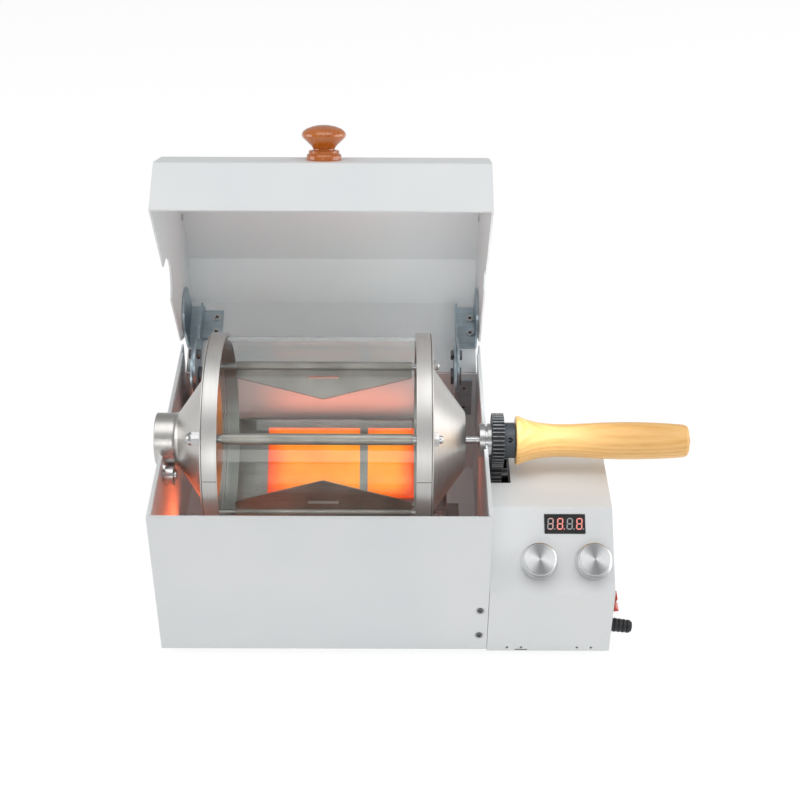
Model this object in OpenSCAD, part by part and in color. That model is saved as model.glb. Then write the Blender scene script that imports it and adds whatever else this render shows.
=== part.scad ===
// Home coffee bean roaster: an open-topped roasting chamber with a hinged gable lid,
// a glass drum turned through a small gear train, and a control box on its right.
// Case coordinates: X runs right from the chamber's left face, Y runs back from its front
// face, and Z runs up from its underside. in_frame() moves them to the part's own frame.

/* [Chamber] */
// Width of the roasting chamber
chamber_w = 250; // [240:1:290]
// Depth of the roasting chamber
chamber_d = 225; // [222:1:245]
// Height of the chamber's front and side walls
chamber_h = 133; // [126:1:140]
// Height of the rear wall, which stays under the lid's swing
rear_wall_h = 104; // [96:1:105]
// Thickness of the sheet steel
sheet_t = 1.5; // [1:0.1:2]
// Outside radius of the sheet's bends
bend_r = 2.5; // [2.2:0.1:4]
// Height of the rubber feet under the case
foot_h = 4; // [2:0.5:10]
// Radius of the rubber feet
foot_r = 8; // [6:0.5:11]

/* [Drum] */
// Distance of the drum's axis behind the front face
drum_y = 98; // [95:1:101]
// Height of the drum's axis over the chamber's underside
drum_z = 129; // [127:1:131]
// Distance from the chamber's left face to the left ring
drum_x = 39.6; // [36:0.1:42]
// Length of the drum over its two rings
drum_l = 166; // [150:1:170]
// Outer radius of the two end rings
ring_r = 82.5; // [76:0.5:83]
// Width of each end ring
ring_w = 11; // [8:0.5:16]
// Radial step from the glass to the outside of a ring
ring_t = 2.5; // [1.5:0.1:3]
// Thickness of the glass
glass_t = 3; // [2:0.1:4]
// Thickness of the spun end caps
cap_t = 1.5; // [1:0.1:2]
// Radius at which a cap's flat rim turns into its cone
cone_r = 57; // [50:0.5:58]
// Length of a cap's cone along the axis
cone_l = 25.6; // [22:0.1:27]
// Outer radius of the filling neck
neck_r = 20.5; // [18:0.1:21]
// Length of the filling neck
neck_l = 17; // [16:0.5:24]
// Radius of the circle that the tie rods stand on
rod_circle_r = 68; // [66:0.5:69]
// Radius of a tie rod
rod_r = 3; // [2.5:0.1:3.5]
// Number of tie rods, each with a mixing vane
rod_count = 3; // [3:1:4]
// Length of a mixing vane along the drum
vane_l = 139; // [110:1:145]
// Depth of a mixing vane at its middle
vane_h = 28; // [18:1:34]
// Depth of a mixing vane at its two ends
vane_end_h = 8; // [4:0.5:12]
// Thickness of a mixing vane
vane_t = 1; // [0.8:0.1:1.5]
// Radius of the drum's shaft
shaft_r = 3; // [2.5:0.1:4]
// Radius of the bearing's flanges
bearing_r = 13; // [12:0.5:14]
// Radius of the bearing's groove, which sits in the wall's notch
groove_r = 11; // [9:0.5:11.5]

/* [Heater] */
// Length of the infrared heating panel along the drum
heater_l = 122; // [100:1:126]
// Width of the infrared heating panel
heater_w = 60; // [50:1:64]
// Width of the strap over the heating panel
strap_w = 6.5; // [4:0.5:10]

/* [Handle] */
// Length of the wooden handle
handle_l = 133; // [100:1:140]
// Radius of the handle at its grip
handle_r = 14.5; // [12:0.5:16]
// Radius of the handle's flared end
flare_r = 18.9; // [17:0.1:20]
// Radius of the hub between gear and handle
hub_r = 13.8; // [12:0.1:15]
// Length of the hub
hub_l = 9.5; // [6:0.5:12]

/* [Gears] */
// Module of the gear teeth
gear_module = 1; // [0.95:0.01:1.02]
// Teeth on the drum's gear
drum_teeth = 40; // [38:2:42]
// Teeth on the idler gear
idler_teeth = 26; // [24:2:28]
// Teeth on the motor's pinion
pinion_teeth = 20; // [18:2:22]
// Width of the gears
gear_w = 9; // [8:0.5:10]

/* [Lid] */
// Angle by which the lid stands open at rest
lid_open = 64.4; // [50:0.1:64.4]
// Height of the lid's front flange
lid_flange_h = 43; // [38:1:48]
// Depth of the lid's front slope
slope_run = 31; // [26:1:36]
// Rise of the lid's front slope
slope_rise = 29; // [26:1:34]
// Rise from the front slope to the ridge
ridge_rise = 25; // [22:1:30]
// Distance of the lid hinge from the chamber's rear face
pivot_back = 18; // [17:0.5:19]
// Height of the lid hinge over the chamber's underside
pivot_z = 113; // [112:0.5:114]
// Radius of the hinge pins
hinge_pin_r = 4; // [3:0.1:5]
// Thickness of the hinge plates
hinge_t = 2; // [1.5:0.1:2.5]
// Height of the lid's wooden knob
lid_knob_h = 26; // [20:1:32]
// Radius of the lid's wooden knob
lid_knob_r = 16.6; // [14:0.1:20]

/* [Control box] */
// Width of the control box
control_w = 93; // [90:1:110]
// Depth of the control box
control_d = 150; // [146:1:170]
// Height of the control box's top
control_top_h = 99.5; // [98:0.5:100]
// Rise of the sloping control panel from the vertical front to the top
panel_rise = 40; // [38:0.5:43]
// Tilt of the control panel from level
panel_angle = 37; // [35:0.5:40]
// Radius of a control knob at its base
knob_r = 13.8; // [11:0.1:15]
// Height of a control knob
knob_h = 12; // [9:0.5:16]
// Distance between the two control knobs
knob_pitch = 41; // [34:1:44]
// Distance of the knobs up the sloping panel
knob_up = 24; // [20:0.5:26]
// Width of the display
display_w = 31; // [24:1:36]
// Height of the display
display_h = 15.2; // [12:0.1:16]
// Distance of the display's middle up the sloping panel
display_up = 53.5; // [51:0.5:55]
// Height of the power switch
switch_h = 21; // [18:0.5:24]
// Width of the power switch
switch_w = 15; // [12:0.5:17]
// Radius of the bore for the mains lead
cord_bore_r = 3.4; // [3:0.1:4]

/* [Hidden] */
$fn = 48;
eps = 0.01;
seat = 0.3;
run_gap = 0.05;
snug = 0.1;
mesh_backlash = 0.24;
screw_proud = 0.1;
screw_sunk = 0.8;
knob_lift = 0.8;
arc_steps = 5;

left_x = 0;
right_x = chamber_w;
pivot_y = chamber_d - pivot_back;
control_front_h = control_top_h - panel_rise;
ring_gap_r = ring_r - ring_t;
glass_r = ring_gap_r - snug;
drum_right_x = drum_x + drum_l;
neck_x = drum_x - cap_t - cone_l - neck_l;
cone_end_x = drum_right_x + cap_t + cone_l;
bearing_x = right_x - 6;
bearing_l = 9.2;
gear_x = bearing_x + bearing_l + seat;
hub_x = gear_x + gear_w;
handle_x = hub_x + hub_l;
handle_end_x = handle_x + handle_l;
bolt_head_l = 1.8;
first_rod_angle = 142.3;
nut_r = 5.8;
nut_l = 7;
dome_l = 5;
thin_nut_l = 4;
rod_tip_l = 3;

drum_pitch_r = gear_module * drum_teeth / 2;
idler_pitch_r = gear_module * idler_teeth / 2;
pinion_pitch_r = gear_module * pinion_teeth / 2;
idler_z = drum_z - drum_pitch_r - idler_pitch_r;
pinion_z = idler_z - idler_pitch_r - pinion_pitch_r;
idler_x = gear_x + 0.5;
idler_w = gear_w - 1;

roller_r = 8;
roller_w = 6;
roller_pin_r = 2.5;
roller_x = sheet_t + 2.2;
roller_angle = 52;
roller_reach = neck_r + roller_r + seat;
neck_notch_r = neck_r + 3.5;

lid_gap = 0.5;
lid_z = chamber_h + lid_gap;
lid_front_top = lid_z + lid_flange_h;
lid_eave_z = lid_front_top + slope_rise;
lid_ridge_z = lid_eave_z + ridge_rise;
lid_back_y = pivot_y + 9;
lid_back_z = pivot_z + 8;
lid_rear_eave_z = lid_ridge_z - 12;
lid_side_cut_y = pivot_y - 22;
lid_side_cut_z = pivot_z + 47;
lid_path = [
    [0, lid_z],
    [0, lid_front_top],
    [slope_run, lid_eave_z],
    [drum_y + 17, lid_ridge_z],
    [lid_back_y - 28, lid_rear_eave_z],
    [lid_back_y, lid_rear_eave_z - 28],
    [lid_back_y, lid_back_z]
];
lid_inner_path = sheet_side(lid_path, bend_r, -sheet_t);

hinge_xs = [13, right_x - 20];
hinge_arm_w = 15;
guide_r = 20.6;
guide_bolt_r = 2.5;
guide_angle = 3;
plate_back = 6.8;
guide_plate_r = guide_r + 6.4;
arm_disc_r = 22;
arm_flange_w = 16;
arm_flange_z = pivot_z + 39;
arm_flange_h = 28;
cheek_z = pivot_z + 31;
cheek_h = 40;
cheek_l = 44;
cheek_corner_r = 16;
foot_flange_w = 15;
foot_flange_z = 62;
foot_flange_h = 36;

control_x = right_x + seat;
control_right = right_x + control_w + 1.4;
panel_run = panel_rise / tan(panel_angle);
control_mid_x = right_x + 58;
knob_xs = [control_mid_x - knob_pitch / 2, control_mid_x + knob_pitch / 2];
end_x = control_right - sheet_t - 0.5;
slot_x = right_x + 2;
slot_w = 17;
slot_y = drum_y - idler_pitch_r - gear_module - 1.8;
slot_d = 2 * (drum_y - slot_y);
switch_y = 17;
switch_z = 35;
gland_y = 13;
gland_z = 16;
gland_r = 5.6;
gland_l = 17;
gland_tilt = 9;
motor_r = 18.5;
gearbox_l = 24;
motor_l = 31;
motor_offset = 7;
motor_z = pinion_z - motor_offset;
control_path = [
    [0, 0],
    [0, control_front_h],
    [panel_run, control_top_h],
    [control_d, control_top_h],
    [control_d, 0]
];
control_inner_path = sheet_side(control_path, bend_r, -sheet_t);

heater_angle = 50;
heater_gap = 6;
heater_t = 4;
tray_margin = 8;
tray_w = heater_w + 2 * tray_margin;
tray_lip = 9;
tray_l = heater_l + 50;
tray_t = 1;
tray_mid_x = drum_x + drum_l / 2 + 12.4;
tray_gap = ring_r + heater_gap + heater_t;

// The part's own frame: the origin is under the middle of the whole part, on the floor
lid_rear_reach = max([for (p = lid_path) opened(p)[0]]);
front_reach = min(-screw_proud, knob_front());
centre_x = (neck_x + handle_end_x + bolt_head_l) / 2;
centre_y = (front_reach + lid_rear_reach) / 2;

// ---- geometry helpers ----

function unit(v) = v / norm(v);
function left_of(v) = [-v[1], v[0]];
function turned(v, a) = [v[0] * cos(a) - v[1] * sin(a), v[0] * sin(a) + v[1] * cos(a)];
function turn_angle(a, b) = atan2(a[0] * b[1] - a[1] * b[0], a[0] * b[0] + a[1] * b[1]);

// Points at one corner of a bent sheet, side mm to the left of the path
function corner_points(before, corner, after, r, side) =
    let (a = unit(corner - before), b = unit(after - corner), turn = turn_angle(a, b))
    let (way = sign(turn), start = corner - a * r * tan(abs(turn) / 2))
    let (centre = start + left_of(a) * r * way)
    [for (k = [0:arc_steps])
        let (n = turned(left_of(a), turn * k / arc_steps))
        centre + n * (side - way * r)];

// The whole side line of a bent sheet: its ends, and an arc at each bend
function sheet_side(path, r, side) = concat(
    [path[0] + left_of(unit(path[1] - path[0])) * side],
    [for (i = [1:len(path) - 2])
        each corner_points(path[i - 1], path[i], path[i + 1], r, side)],
    [path[len(path) - 1] + left_of(unit(path[len(path) - 1] - path[len(path) - 2])) * side]
);
function backwards(list) = [for (i = [len(list) - 1:-1:0]) list[i]];

// Where a closed-lid point (y, z) lies when the lid stands open
function opened(p) =
    [pivot_y, pivot_z] + turned([p[0] - pivot_y, p[1] - pivot_z], -lid_open);

// How far forward a control knob reaches
function knob_front() =
    (knob_up - knob_r + 1.9) * cos(panel_angle) - (knob_h + knob_lift) * sin(panel_angle);

function inv_angle(base_r, r) =
    let (t = acos(min(1, base_r / r))) tan(t) * 180 / PI - t;

// One tooth of an involute gear, from root to tip and back
function tooth(teeth, turn) =
    let (pitch_r = gear_module * teeth / 2, base_r = pitch_r * cos(20))
    let (root_r = pitch_r - 1.25 * gear_module, tip_r = pitch_r + gear_module)
    let (half = (PI * gear_module / 2 - mesh_backlash) / pitch_r * 90 / PI)
    let (start_r = max(base_r, root_r + 0.05), whole = half + inv_angle(base_r, pitch_r))
    let (radii = [for (k = [0:4]) start_r + (tip_r - start_r) * k / 4])
    concat(
        [root_r * [cos(turn - whole), sin(turn - whole)]],
        [for (r = radii) let (a = turn - whole + inv_angle(base_r, r)) r * [cos(a), sin(a)]],
        [for (r = backwards(radii))
            let (a = turn + whole - inv_angle(base_r, r)) r * [cos(a), sin(a)]],
        [root_r * [cos(turn + whole), sin(turn + whole)]]
    );

module in_frame() translate([-centre_x, -centre_y, foot_h]) children();

// Children in closed-lid coordinates, swung open about the hinge
module on_lid() {
    in_frame() translate([0, pivot_y, pivot_z]) rotate([-lid_open, 0, 0])
        translate([0, -pivot_y, -pivot_z]) children();
}

// Children turned about the drum's axis: their Z runs along the case's X
module on_drum() in_frame() along_x([0, drum_y, drum_z]) children();

module along_x(place) translate(place) rotate([0, 90, 0]) children();

// Children drawn on the sloping panel: X to the right, Y up the slope, Z out of it
module on_panel() {
    in_frame() translate([0, 0, control_front_h]) rotate([panel_angle, 0, 0]) children();
}

// A 2D outline in (Y, Z), drawn out along X
module slab(x, w) translate([x, 0, 0]) rotate([90, 0, 90]) linear_extrude(w) children();

module bent_sheet(path, t) {
    polygon(concat(sheet_side(path, bend_r, 0), backwards(sheet_side(path, bend_r, -t))));
}

module ring_tube(outer_r, inner_r, h) {
    difference() {
        cylinder(r = outer_r, h = h, $fn = 96);
        translate([0, 0, -1]) cylinder(r = inner_r, h = h + 2, $fn = 96);
    }
}

module pan_screw(r, head_r, head_h, shank_l) {
    cylinder(r = head_r, h = head_h);
    translate([0, 0, -shank_l]) cylinder(r = r, h = shank_l + eps);
}

module gear(teeth, w, bore_r, phase) {
    difference() {
        rotate([0, 0, phase]) linear_extrude(w)
            polygon([for (i = [0:teeth - 1]) each tooth(teeth, i * 360 / teeth)]);
        translate([0, 0, -1]) cylinder(r = bore_r, h = w + 2);
    }
}

// ---- chamber ----

front_screw_x = right_x - 6.2;
front_screw_zs = [41.6, 16];
front_flange_w = 14;
hinge_screw_zs = [foot_flange_z + 8, foot_flange_z + foot_flange_h - 8];
hinge_screw_dx = 8;
screw_r = 1.5;

shell_path = [[chamber_d, rear_wall_h], [chamber_d, 0], [0, 0], [0, chamber_h]];

module chamber_shell() {
    color("whitesmoke") in_frame() difference() {
        slab(left_x, chamber_w) bent_sheet(shell_path, sheet_t);
        for (z = front_screw_zs) {
            translate([front_screw_x, -1, z]) rotate([-90, 0, 0])
                cylinder(r = screw_r + snug, h = sheet_t + 2);
            translate([front_screw_x, -eps, z]) rotate([-90, 0, 0])
                cylinder(r1 = 4, r2 = 2.6, h = screw_sunk + eps);
        }
        for (x = hinge_xs, z = hinge_screw_zs)
            translate([x + hinge_screw_dx, chamber_d - sheet_t - 1, z]) rotate([-90, 0, 0])
                cylinder(r = screw_r + snug, h = sheet_t + 2);
        for (p = foot_places, r = [screw_r + snug])
            if (p[0] < right_x) translate([p[0], p[1], -1]) cylinder(r = r, h = sheet_t + 2);
    }
}

module side_wall_outline() {
    polygon(concat(
        sheet_side(shell_path, bend_r, -sheet_t),
        [[chamber_d - sheet_t, chamber_h]]
    ));
}

module open_notch(r) {
    translate([drum_y, drum_z]) circle(r = r, $fn = 96);
    translate([drum_y - r, drum_z]) square([2 * r, chamber_h]);
}

module left_wall() {
    color("whitesmoke") in_frame() slab(left_x, sheet_t) difference() {
        side_wall_outline();
        open_notch(neck_notch_r);
        for (side = [-1, 1]) translate(roller_place(side)) circle(r = roller_pin_r + snug);
    }
}

module right_wall() {
    color("whitesmoke") in_frame() difference() {
        union() {
            slab(right_x - sheet_t, sheet_t) side_wall_outline();
            translate([right_x - front_flange_w, sheet_t, 2 * sheet_t])
                cube([front_flange_w, sheet_t, chamber_h - 20]);
        }
        slab(right_x - sheet_t - 1, sheet_t + 2) open_notch(groove_r + snug);
        for (z = front_screw_zs) translate([front_screw_x, 0, z]) rotate([-90, 0, 0])
            cylinder(r = screw_r + snug, h = 3 * sheet_t);
    }
}

foot_inset = 22;
foot_places = [
    [foot_inset, foot_inset], [foot_inset, chamber_d - foot_inset],
    [right_x + control_w - foot_inset, foot_inset],
    [right_x + control_w - foot_inset, control_d - foot_inset],
    [right_x - foot_inset, chamber_d - foot_inset]
];

module feet() {
    color("black") in_frame() for (p = foot_places) translate([p[0], p[1], -foot_h])
        difference() {
            cylinder(r1 = foot_r - 1, r2 = foot_r, h = foot_h);
            translate([0, 0, 1.5]) cylinder(r = screw_r + snug, h = foot_h);
        }
}

module case_screws() {
    color("dimgray") in_frame() {
        for (z = front_screw_zs) translate([front_screw_x, screw_sunk, z]) rotate([90, 0, 0])
            pan_screw(screw_r, 2.4, screw_sunk + screw_proud, 3.5);
        for (x = hinge_xs, z = hinge_screw_zs)
            translate([x + hinge_screw_dx, chamber_d, z]) rotate([-90, 0, 0])
                pan_screw(screw_r, 3, 1.4, sheet_t + hinge_t);
        for (p = end_screw_places) translate([end_x + sheet_t, p[0], p[1]])
            rotate([0, 90, 0]) pan_screw(screw_r, 2.8, 1.3, sheet_t + 2);
    }
}

// ---- heater, behind and under the drum, facing the drum's axis ----

// Children with Z pointing from the drum's axis to the heater and Y along its slope
module at_heater() {
    in_frame() translate([0, drum_y, drum_z]) rotate([-90 - heater_angle, 0, 0]) children();
}

module heater_tray() {
    color("silver") at_heater() difference() {
        translate([tray_mid_x - tray_l / 2, -tray_w / 2, tray_gap - tray_lip + 3])
            cube([tray_l, tray_w, tray_lip]);
        translate([tray_mid_x - tray_l / 2 - 1, -tray_w / 2 + tray_t, tray_gap - tray_lip])
            cube([tray_l + 2, tray_w - 2 * tray_t, tray_lip + 3 - tray_t]);
    }
}

module heater_panel() {
    color("orange") at_heater()
        translate([tray_mid_x - heater_l / 2, -heater_w / 2, tray_gap - heater_t])
            cube([heater_l, heater_w, heater_t]);
}

strap_t = 1.2;
strap_x = tray_mid_x + heater_l * 0.15;
tray_plate_gap = 2;

// A strap across the panel, bent down to the tray at both ends
module heater_strap() {
    color("gainsboro") at_heater() translate([strap_x - strap_w / 2, 0, 0]) difference() {
        translate([0, -heater_w / 2 - seat - strap_t, tray_gap - heater_t - seat - strap_t])
            cube([strap_w, heater_w + 2 * (seat + strap_t),
                  heater_t + seat + strap_t + tray_plate_gap]);
        translate([-1, -heater_w / 2 - seat, tray_gap - heater_t - seat])
            cube([strap_w + 2, heater_w + 2 * seat, 20]);
    }
}

terminal_r = 3;

module heater_terminals() {
    color("ivory") at_heater() for (side = [-1, 1])
        translate([tray_mid_x + side * heater_l / 4, 0, tray_gap])
            cylinder(r = terminal_r, h = tray_plate_gap);
}

tray_foot_w = 12;
tray_leg_w = 34;
tray_mid_r = tray_gap - tray_lip + 3 + tray_lip / 2;
tray_leg_y = drum_y + tray_mid_r * cos(heater_angle) - tray_leg_w / 2;
tray_leg_top = drum_z - tray_mid_r * sin(heater_angle);

// The heater's own directions in an outline drawn in (Y, Z)
module heater_plane() translate([drum_y, drum_z]) rotate(-90 - heater_angle) children();

// A tilted plate along the tray's end, and the leg that carries it down to the floor
module bracket_outline() {
    heater_plane() translate([-tray_w / 2, tray_gap - tray_lip + 3]) square([tray_w, tray_lip]);
    intersection() {
        translate([tray_leg_y, sheet_t]) square([tray_leg_w, tray_leg_top]);
        heater_plane() translate([-tray_w, tray_gap - tray_lip + 3.1])
            square([2 * tray_w, 2 * tray_w]);
    }
}

// End plates that carry the tray on the chamber's floor
module heater_brackets() {
    color("silver") in_frame() for (side = [0, 1]) {
        x = tray_mid_x + (side == 0 ? -tray_l / 2 - tray_t : tray_l / 2);
        slab(x, tray_t) bracket_outline();
        translate([side == 0 ? x - tray_foot_w : x, tray_leg_y, sheet_t])
            cube([tray_foot_w + tray_t, tray_leg_w, tray_t]);
    }
}

// ---- drum supports ----

function roller_place(side) = [drum_y + side * roller_reach * sin(roller_angle),
                               drum_z - roller_reach * cos(roller_angle)];

module at_roller(side, x) {
    place = roller_place(side);
    in_frame() along_x([x, place[0], place[1]]) children();
}

module roller_pins() {
    color("silver") for (side = [-1, 1]) at_roller(side, 0) {
        translate([0, 0, -1.6]) cylinder(r = roller_pin_r + 2, h = 1.6);
        translate([0, 0, -eps]) cylinder(r = roller_pin_r, h = roller_x + roller_w + 1.4);
        translate([0, 0, roller_x + roller_w + 0.5]) cylinder(r = roller_pin_r + 1.5, h = 1.5);
        translate([0, 0, sheet_t]) cylinder(r = roller_pin_r + 1.2, h = roller_x - sheet_t - seat);
    }
}

ring_depth = 2.2;

module roller(side) {
    at_roller(side, roller_x)
        ring_tube(roller_r - ring_depth - run_gap, roller_pin_r + run_gap, roller_w);
}

module roller_ring(side) {
    at_roller(side, roller_x) ring_tube(roller_r, roller_r - ring_depth, roller_w);
}

module front_roller() color("silver") roller(-1);
module front_roller_ring() color("black") roller_ring(-1);
module rear_roller() color("silver") roller(1);
module rear_roller_ring() color("black") roller_ring(1);

groove_x = right_x - sheet_t - bearing_x;

module shaft_bearing() {
    color("silver") on_drum() translate([0, 0, bearing_x]) difference() {
        cylinder(r = bearing_r, h = bearing_l, $fn = 64);
        translate([0, 0, groove_x - seat]) ring_tube(bearing_r + 1, groove_r, sheet_t + 2 * seat);
        translate([0, 0, -1]) cylinder(r = shaft_r + run_gap, h = bearing_l + 2);
    }
}

// ---- lid hinges ----

module hinge_bases() {
    color("lightsteelblue") in_frame() for (x = hinge_xs) {
        difference() {
            slab(x - hinge_t - seat, hinge_t) difference() {
                union() {
                    translate([pivot_y, pivot_z]) intersection() {
                        circle(r = guide_plate_r, $fn = 96);
                        translate([-40, -40]) square([40 + plate_back, 80]);
                    }
                    translate([pivot_y - 6, foot_flange_z])
                        square([chamber_d - sheet_t - pivot_y + 6, foot_flange_h]);
                }
                translate([pivot_y, pivot_z]) circle(r = hinge_pin_r + snug);
                translate([pivot_y, pivot_z]) guide_slot();
            }
        }
        difference() {
            translate([x - seat - eps, chamber_d - sheet_t - hinge_t, foot_flange_z])
                cube([foot_flange_w, hinge_t, foot_flange_h]);
            for (z = hinge_screw_zs)
                translate([x + hinge_screw_dx, chamber_d - 3 * hinge_t, z]) rotate([-90, 0, 0])
                    cylinder(r = screw_r + snug, h = 3 * hinge_t);
        }
    }
}

// The arc that the lid's guide bolt runs in, drawn about the hinge in (Y, Z)
module guide_slot() {
    slot_r = guide_bolt_r + 0.4;
    from_angle = 90 - guide_angle - 0.5;
    to_angle = from_angle + lid_open + 1;
    steps = 12;
    polygon(concat(
        [for (k = [0:steps]) let (a = from_angle + (to_angle - from_angle) * k / steps)
            (guide_r + slot_r) * [cos(a), sin(a)]],
        [for (k = [steps:-1:0]) let (a = from_angle + (to_angle - from_angle) * k / steps)
            (guide_r - slot_r) * [cos(a), sin(a)]]
    ));
    for (a = [from_angle, to_angle]) rotate(a) translate([guide_r, 0]) circle(r = slot_r);
}

module hinge_pins() {
    color("gray") in_frame() for (x = hinge_xs)
        along_x([x - hinge_t - seat, pivot_y, pivot_z]) {
            translate([0, 0, -pin_head_l])
                cylinder(r = hinge_pin_r + 3.5, h = pin_head_l, $fn = 6);
            translate([0, 0, -eps]) cylinder(r = hinge_pin_r, h = 2 * hinge_t + 2 * seat + 1);
            translate([0, 0, 2 * hinge_t + 2 * seat])
                cylinder(r = hinge_pin_r + 3.5, h = pin_nut_l);
        }
}

pin_head_l = 2.2;
pin_nut_l = 1.8;

arm_lower_y = pivot_y - hinge_arm_w / 2;

module hinge_arms() {
    color("lightsteelblue") on_lid() for (x = hinge_xs) {
        slab(x, hinge_t) difference() {
            union() {
                translate([pivot_y, pivot_z]) circle(r = hinge_arm_w / 2 + 3);
                polygon([
                    [arm_lower_y, pivot_z], [arm_lower_y - 8, arm_flange_z],
                    [arm_lower_y, arm_flange_z + arm_flange_h],
                    [arm_back_y, arm_flange_z + arm_flange_h],
                    [arm_back_y, pivot_z + 12], [pivot_y + 7, pivot_z]
                ]);
                intersection() {
                    translate(([pivot_y, pivot_z] + guide_point()) / 2)
                        circle(r = arm_disc_r, $fn = 96);
                    translate([arm_back_y - 80, pivot_z - 40]) square([80, 80]);
                }
            }
            translate([pivot_y, pivot_z]) circle(r = hinge_pin_r + run_gap);
            translate(guide_point()) circle(r = guide_bolt_r + snug);
        }
        difference() {
            union() {
                if (x == hinge_xs[0])
                    translate([x + hinge_t - eps, arm_back_y - hinge_t, arm_flange_z])
                        cube([arm_flange_w, hinge_t, arm_flange_h]);
                hinge_cheek(x, x == hinge_xs[0] ? left_cheek_x : right_cheek_x);
            }
            for (z = arm_screw_zs) translate([x + arm_screw_dx, lid_back_y - 8, z])
                rotate([-90, 0, 0]) cylinder(r = screw_r + snug, h = 10);
        }
    }
}

arm_back_y = lid_back_y - sheet_t - seat;
left_cheek_x = sheet_t + seat;
right_cheek_x = right_x - sheet_t - seat - hinge_t;

// A plate along the lid's side wall, and the web that joins it to the arm at arm_x
module hinge_cheek(arm_x, x) {
    from_x = min(arm_x + eps, x);
    to_x = max(arm_x + hinge_t - eps, x + hinge_t);
    slab(x, hinge_t) polygon(concat(
        [[arm_back_y, cheek_z], [arm_back_y, cheek_z + cheek_h]],
        cheek_corner(cheek_z + cheek_h - cheek_corner_r, 90),
        cheek_corner(cheek_z + cheek_corner_r, 180)
    ));
    translate([from_x, arm_back_y - hinge_t, cheek_z])
        cube([to_x - from_x, hinge_t, cheek_h]);
}

function cheek_corner(z, from_angle) =
    [for (k = [0:6])
        [arm_back_y - cheek_l + cheek_corner_r, z]
            + cheek_corner_r * [cos(from_angle + k * 15), sin(from_angle + k * 15)]];

arm_screw_zs = [arm_flange_z + 6, arm_flange_z + arm_flange_h - 7.5];
arm_screw_dx = hinge_t + 11;

guide_head_l = 2.6;

// The guide bolt in closed-lid coordinates (Y, Z)
function guide_point() =
    [pivot_y, pivot_z] + guide_r * [sin(guide_angle - lid_open), cos(guide_angle - lid_open)];

module hinge_guide_bolts() {
    color("dimgray") on_lid() for (x = hinge_xs)
        along_x([x, guide_point()[0], guide_point()[1]]) {
            translate([0, 0, -hinge_t - seat - guide_head_l])
                cylinder(r = 4.6, h = guide_head_l - seat, $fn = 6);
            translate([0, 0, -hinge_t - seat - 2]) cylinder(r = guide_bolt_r, h = 2 * hinge_t + 3);
            translate([0, 0, hinge_t]) cylinder(r = 4.2, h = 2.4);
        }
}

// ---- lid ----

side_flange_y = lid_back_y - sheet_t - 4;

module lid_panel() {
    color("whitesmoke") on_lid() difference() {
        slab(left_x, chamber_w) bent_sheet(lid_path, sheet_t);
        for (x = [left_x - 1, right_x - sheet_t - 1])
            translate([x, side_flange_y, lid_back_z - 1])
                cube([sheet_t + 2, 20, lid_side_cut_z - lid_back_z + 1]);
        at_lid_knob() translate([0, 0, -5]) cylinder(r = 2.1, h = 10);
        for (x = hinge_xs, z = arm_screw_zs) translate([x + arm_screw_dx, lid_back_y - 5, z])
            rotate([-90, 0, 0]) cylinder(r = screw_r + snug, h = 10);
    }
}

module lid_side(notch_r) {
    difference() {
        polygon(lid_inner_path);
        translate([drum_y, drum_z]) circle(r = notch_r, $fn = 96);
        polygon([
            [lid_side_cut_y, lid_z - 1], [lid_side_cut_y, lid_z],
            [lid_back_y, lid_side_cut_z], [lid_back_y + 5, lid_back_z - 5],
            [lid_side_cut_y, lid_back_z - 5]
        ]);
        translate([-5, lid_back_z - 5]) square([lid_side_cut_y + 6, lid_z - lid_back_z + 5]);
    }
}

module lid_left_side() color("whitesmoke") on_lid() slab(left_x, sheet_t) lid_side(neck_notch_r);

module lid_right_side() {
    color("whitesmoke") on_lid() slab(right_x - sheet_t, sheet_t) lid_side(bearing_r + 1.5);
}

knob_slope_angle = atan2(slope_rise, slope_run);

// Children with Z out of the lid's front slope, at the middle of its width
module at_lid_knob() {
    translate([chamber_w / 2, slope_run / 2, lid_front_top + slope_rise / 2])
        rotate([knob_slope_angle, 0, 0]) children();
}

// The knob's turned outline: heights and radii as shares of the knob's own size
lid_knob_turning = [
    [0, 0.79], [0.03, 0.8], [0.13, 0.79], [0.17, 0.74], [0.19, 0.69], [0.23, 0.7],
    [0.27, 0.68], [0.3, 0.5], [0.33, 0.49], [0.42, 0.6], [0.56, 0.84], [0.64, 0.96],
    [0.7, 1], [0.76, 0.99], [0.83, 0.92], [0.9, 0.76], [0.96, 0.5], [0.99, 0.25]
];

module lid_knob() {
    color("sienna") on_lid() at_lid_knob() translate([0, 0, eps]) difference() {
        rotate_extrude($fn = 96) polygon(concat(
            [[0, 0]],
            [for (p = lid_knob_turning) [p[1] * lid_knob_r, p[0] * lid_knob_h]],
            [[0, lid_knob_h]]
        ));
        translate([0, 0, -1]) cylinder(r = 2, h = lid_knob_h / 2 + 1);
    }
}

module lid_knob_screw() {
    color("silver") on_lid() at_lid_knob() translate([0, 0, -sheet_t]) mirror([0, 0, 1])
        pan_screw(1.9, 4, 2, lid_knob_h / 2);
}

rivet_y = drum_y + 36;

module lid_rivets() {
    color("silver") on_lid() {
        for (y = [30, rivet_y], side = [0, 1]) {
            z = y == rivet_y ? lid_ridge_z - 8.5 : lid_front_top;
            along_x([side == 0 ? sheet_t : right_x - sheet_t - 1, y, z]) cylinder(r = 2.4, h = 1);
        }
        for (x = hinge_xs, z = arm_screw_zs)
            translate([x + arm_screw_dx, lid_back_y - sheet_t - seat - hinge_t, z])
                rotate([90, 0, 0]) pan_screw(screw_r, 3, 1.6, hinge_t + seat + sheet_t);
    }
}

// ---- drum ----

rim_bend_r = 4;
neck_bend_r = 6;

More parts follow.
